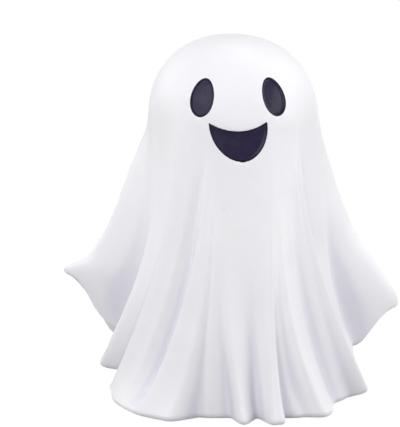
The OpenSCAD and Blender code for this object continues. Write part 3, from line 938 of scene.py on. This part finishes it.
class GHOST_OT_stopper(bpy.types.Operator):
    """Turns the soft stopper, with rounded edges and a hollow plug"""
    bl_idname = "ghost.stopper"
    bl_label = "Stopper"

    def execute(self, context):
        sizes = context.scene.ghost_stopper_sizes
        low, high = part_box("pour_hole_stopper")
        middle = (low + high) / 2
        flange_r = (high.x - low.x) / 2
        flange_t, plug_r, wall = 0.0014, 0.0109, 0.002
        slope, mouth_slope, neck_depth, neck_h = 0.001, 0.0008, 0.0003, 0.0005
        top, seat, hollow_r = high.z, low.z + flange_t, plug_r - wall
        outline = ((0, top), (plug_r - slope, top), (plug_r, top - wall),
                   (plug_r - neck_depth, seat + neck_h), (plug_r, seat), (flange_r, seat),
                   (flange_r, low.z), (hollow_r + mouth_slope, low.z), (hollow_r, low.z + slope),
                   (hollow_r, top - wall), (0, top - wall))
        bm = bmesh.new()
        verts = [bm.verts.new((r, 0, z)) for r, z in outline]
        for pair in zip(verts, verts[1:]):
            bm.edges.new(pair)
        bmesh.ops.bevel(bm, geom=verts[1:-1], offset=sizes.round_edge, segments=3, profile=0.5,
                        affect="VERTICES", material=-1)
        bmesh.ops.spin(bm, geom=bm.verts[:] + bm.edges[:], cent=(0, 0, 0), axis=(0, 0, 1), dvec=(0, 0, 0),
                       angle=2 * math.pi, steps=96, use_merge=True)
        bmesh.ops.remove_doubles(bm, verts=bm.verts, dist=0.000005)
        bmesh.ops.translate(bm, verts=bm.verts, vec=(middle.x, middle.y, 0))
        bmesh.ops.recalc_face_normals(bm, faces=bm.faces)
        piece = from_bmesh(bm, "soft_stopper", soft_rubber(tuple(sizes.colour)))
        carry(piece, "stopper", "stopper_rubber", "pour_hole_stopper")
        return {"FINISHED"}


class GHOST_OT_pads(bpy.types.Operator):
    """Punches the four felt pads, with soft rims"""
    bl_idname = "ghost.pads"
    bl_label = "Felt pads"

    def execute(self, context):
        sizes = context.scene.ghost_pad_sizes
        material = pressed_felt(tuple(sizes.colour))
        for seed, end in enumerate(("front_left", "front_right", "rear_left", "rear_right"), 10):
            node = end + "_pad"
            low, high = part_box(node)
            piece = from_bmesh(self.punched(low, high, sizes.fuzz, seed), "felt_" + end, material)
            carry(piece, "figure", "felt", node)
        return {"FINISHED"}

    @staticmethod
    def punched(low, high, fuzz, seed):
        """A disc between two corners, with a round rim that wanders inwards."""
        rim_r, ring_w, rings, wander_size = 0.00035, 0.0009, 5, 0.0013
        sharp_angle, rim_share, least_length = 1, 0.8, 1e-6
        middle = (low + high) / 2
        radius = (high.x - low.x) / 2
        bm = bmesh.new()
        bmesh.ops.create_cone(bm, cap_ends=True, segments=72, radius1=radius, radius2=radius,
                              depth=high.z - low.z, matrix=Matrix.Translation(middle))
        rims = [e for e in bm.edges if e.calc_face_angle(0) > sharp_angle]
        bmesh.ops.bevel(bm, geom=rims, offset=rim_r, segments=3, profile=0.5, affect="EDGES", material=-1)

        def caps():
            return [f for f in bm.faces if len(f.verts) > 4]

        for _ in range(rings):
            bmesh.ops.inset_region(bm, faces=caps(), thickness=ring_w)
        bmesh.ops.poke(bm, faces=caps())
        co = bmesh_coords(bm)
        outwards = co - np.array(middle)
        outwards[:, 2] = 0
        length = np.hypot(outwards[:, 0], outwards[:, 1])[:, None]
        inwards = -outwards / np.maximum(length, least_length) * smooth(length, radius * rim_share, radius)
        co += inwards * ((1 + drift(co, wander_size, seed)) * fuzz)[:, None]
        move_to(bm, co)
        bmesh.ops.recalc_face_normals(bm, faces=bm.faces)
        return bm


class GHOST_OT_stage(bpy.types.Operator):
    """Sets the camera, the pale floor and the soft light"""
    bl_idname = "ghost.stage"
    bl_label = "Stage"
    # The point that the camera and the lamps look at.
    aim = Vector((0, 0, 0.1))
    # How far the figure stands to the right of the photo's middle and below it, in pixels.
    photo_w, right_of_middle, below_middle = 400, 33.2, 3.8
    # Each lamp: its place and its size. Its power is among the stage's sizes.
    lamps = {
        "top": ((0.1, 0.3, 1.4), 0.7),
        "front": ((-0.5, -1.1, 0.65), 1.3),
        "left": ((-1.0, -0.75, 0.8), 0.8),
        "left_back": ((-1.0, 0.3, 0.5), 0.8),
        "right": ((1.15, -0.3, 0.35), 1.0),
        "right_back": ((1.0, 0.45, 0.75), 0.8),
    }

    def execute(self, context):
        scene = context.scene
        sizes = scene.ghost_stage_sizes
        self.aim_camera(scene, sizes)
        for name in self.lamps:
            self.hang_lamp(scene, name, getattr(sizes, name))
        bm = bmesh.new()
        bmesh.ops.create_grid(bm, x_segments=1, y_segments=1, size=4)
        floor = from_bmesh(bm, "floor", self.floor_finish())
        self.light_world(scene, sizes)
        scene.view_settings.view_transform = "Standard"
        return {"FINISHED"}

    def aim_camera(self, scene, sizes):
        camera = bpy.data.objects.new("camera", bpy.data.cameras.new("camera"))
        back = Vector((0, -math.cos(sizes.elevation), math.sin(sizes.elevation)))
        camera.location = self.aim + back * sizes.distance
        camera.rotation_euler = (math.pi / 2 - sizes.elevation, 0, 0)
        camera.data.sensor_fit = "HORIZONTAL"
        camera.data.sensor_width = 36
        camera.data.lens = sizes.lens
        camera.data.shift_x = -self.right_of_middle / self.photo_w
        camera.data.shift_y = self.below_middle / self.photo_w
        camera.data.clip_end = 50
        scene.collection.objects.link(camera)
        scene.camera = camera

    def hang_lamp(self, scene, name, power):
        place, size = self.lamps[name]
        lamp = bpy.data.lights.new(name + "_lamp", "AREA")
        lamp.shape = "DISK"
        lamp.size = size
        lamp.energy = power
        holder = bpy.data.objects.new(name + "_lamp", lamp)
        holder.location = place
        holder.rotation_euler = (self.aim - holder.location).to_track_quat("-Z", "Y").to_euler()
        scene.collection.objects.link(holder)

    @staticmethod
    def seen(tree):
        """1 for rays from the camera, a gloss or a glass, else 0."""
        path = Wire(tree)
        camera, gloss, glass = (path.node("LightPath", out=name)
                                for name in ("Is Camera Ray", "Is Glossy Ray", "Is Transmission Ray"))
        return path.maths("MAXIMUM", path.maths("MAXIMUM", camera, gloss), glass)

    def floor_finish(self):
        """A pale floor that reads as white and keeps the figure's shadow."""
        glow, glow_share = 1.16, 0.85
        material = bpy.data.materials.new("pale_floor")
        start = Wire(cleared(material))
        paint = start.node("BsdfDiffuse", {}, {"Color": (0.3, 0.3, 0.31, 1)})
        white = start.node("Emission", {}, {"Color": (1, 1, 1, 1), "Strength": glow})
        mixed = start.node("MixShader", {}, {0: self.seen(start.tree) * glow_share, 1: paint, 2: white})
        start.node("OutputMaterial", {}, {"Surface": mixed})
        return material

    def light_world(self, scene, sizes):
        """Lights the figure from all round, before a backdrop that is seen as white."""
        world = bpy.data.worlds.new("studio")
        start = Wire(cleared(world))
        fill = start.node("Background", {}, {"Color": (*sizes.fill_colour, 1), "Strength": sizes.fill})
        white = start.node("Background", {}, {"Color": (1, 1, 1, 1), "Strength": 1.0})
        mixed = start.node("MixShader", {}, {0: self.seen(start.tree), 1: fill, 2: white})
        start.node("OutputWorld", {}, {"Surface": mixed})
        scene.world = world


OPERATORS = (GHOST_OT_stage, GHOST_OT_shell, GHOST_OT_face, GHOST_OT_stopper, GHOST_OT_pads)


class GHOST_PT_sizes(bpy.types.Panel):
    """Lists the figure's sizes and its pieces' operators"""
    bl_idname = "GHOST_PT_sizes"
    bl_label = "Ghost Figure"
    bl_space_type = "VIEW_3D"
    bl_region_type = "UI"
    bl_category = "Ghost Figure"

    def draw(self, context):
        for operator in OPERATORS:
            self.layout.operator(operator.bl_idname)
        for name, group in GROUPS.items():
            box = self.layout.box()
            box.label(text=group.__doc__)
            for prop in group.__annotations__:
                box.prop(getattr(context.scene, name), prop)


def register():
    for group in GROUPS.values():
        bpy.utils.register_class(group)
    for name, group in GROUPS.items():
        setattr(bpy.types.Scene, name, PointerProperty(type=group))
    for operator in OPERATORS:
        bpy.utils.register_class(operator)
    bpy.utils.register_class(GHOST_PT_sizes)


def unregister():
    bpy.utils.unregister_class(GHOST_PT_sizes)
    for operator in reversed(OPERATORS):
        bpy.utils.unregister_class(operator)
    for name in GROUPS:
        delattr(bpy.types.Scene, name)
    for group in reversed(GROUPS.values()):
        bpy.utils.unregister_class(group)


def main():
    register()
    for operator in OPERATORS:
        area, name = operator.bl_idname.split(".")
        getattr(getattr(bpy.ops, area), name)()


if __name__ == "__main__":
    main()
